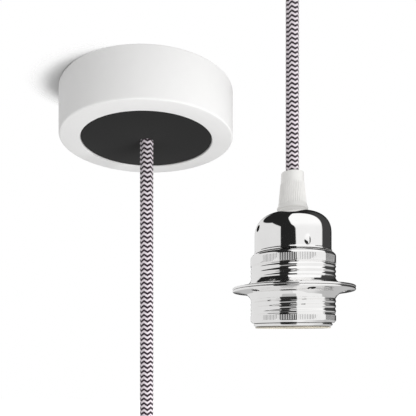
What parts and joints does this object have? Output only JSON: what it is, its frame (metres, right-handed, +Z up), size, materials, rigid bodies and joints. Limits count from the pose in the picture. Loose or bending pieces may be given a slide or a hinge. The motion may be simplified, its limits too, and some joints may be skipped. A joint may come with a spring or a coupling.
{
  "type": "pendant cord set",
  "caption": "Pendant lamp cord set: round white ceiling rose with a charcoal disc, zigzag braided cord, clear cord grip and chrome screw shell lamp holder with two shade rings.",
  "frame": {"origin": "centre of the ceiling rose's top face, in the plane of the ceiling it is fixed to", "axes": "+Z up, out of the rose's top face along the rose's axis; +X from the rose towards the lamp holder's axis; the front faces -Y"},
  "size_m": [0.1903, 0.082, 0.3768],
  "materials": {
    "white_plastic": "satin",
    "charcoal": "matt",
    "tie_black": "matt",
    "zinc_steel": "satin",
    "nylon": "satin",
    "brass": "bright",
    "clear_plastic": "translucent",
    "chrome": "polished",
    "ivory_plastic": "satin",
    "braid": "woven, dark and pale zigzag",
    "wire_brown": "satin",
    "wire_blue": "satin",
    "wire_green": "satin"
  },
  "bodies": {
    "root": {"ceiling_strap": "zinc_steel", "centre_contact": "brass", "clamp_screw_1": "zinc_steel", "clamp_screw_2": "zinc_steel", "coil_tie": "tie_black", "cord_clamp_bar": "nylon", "cord_clamp_saddle": "nylon", "cord_coil": "braid", "cord_drop": "braid", "cord_grip": "clear_plastic", "cord_riser": "braid", "dome_cap": "chrome", "grip_neck": "clear_plastic", "holder_screw_live": "zinc_steel", "holder_screw_neutral": "zinc_steel", "holder_terminal_earth": "brass", "holder_terminal_live": "brass", "holder_terminal_neutral": "brass", "holder_wire_earth": "wire_green", "holder_wire_live": "wire_brown", "holder_wire_neutral": "wire_blue", "insulating_insert": "ivory_plastic", "lock_nut": "zinc_steel", "rose_cup": "white_plastic", "rose_disc": "charcoal", "rose_wire_earth": "wire_green", "rose_wire_live": "wire_brown", "rose_wire_neutral": "wire_blue", "screw_sleeve": "brass", "shade_ring_lower": "chrome", "shade_ring_upper": "chrome", "terminal_block": "nylon", "terminal_earth": "brass", "terminal_earth_screw_1": "zinc_steel", "terminal_earth_screw_2": "zinc_steel", "terminal_live": "brass", "terminal_live_screw_1": "zinc_steel", "terminal_live_screw_2": "zinc_steel", "terminal_neutral": "brass", "terminal_neutral_screw_1": "zinc_steel", "terminal_neutral_screw_2": "zinc_steel", "threaded_shell": "chrome"}
  },
  "joints": []
}
